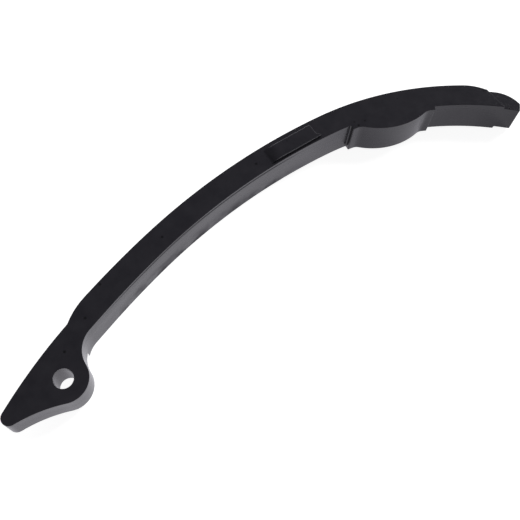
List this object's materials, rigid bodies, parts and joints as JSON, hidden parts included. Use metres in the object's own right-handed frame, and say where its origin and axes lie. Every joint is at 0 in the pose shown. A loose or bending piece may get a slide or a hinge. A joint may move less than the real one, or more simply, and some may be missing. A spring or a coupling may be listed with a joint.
{
  "type": "timing chain guide",
  "caption": "Bowed black plastic arm with a pivot bore at one end, a lipped channel for a chain along its back and a crowned push pad near the free end.",
  "frame": {"origin": "on the axis of the pivot bore, at its lower rim", "axes": "+X from the pivot towards the free end, +Y towards the bowed back that the chain runs on, +Z along the pivot bore towards the side with the raised pad"},
  "size_m": [0.2727, 0.0571, 0.0196],
  "materials": {
    "black_plastic": "satin black moulded nylon"
  },
  "bodies": {
    "root": {"guide": "black_plastic"}
  },
  "joints": []
}
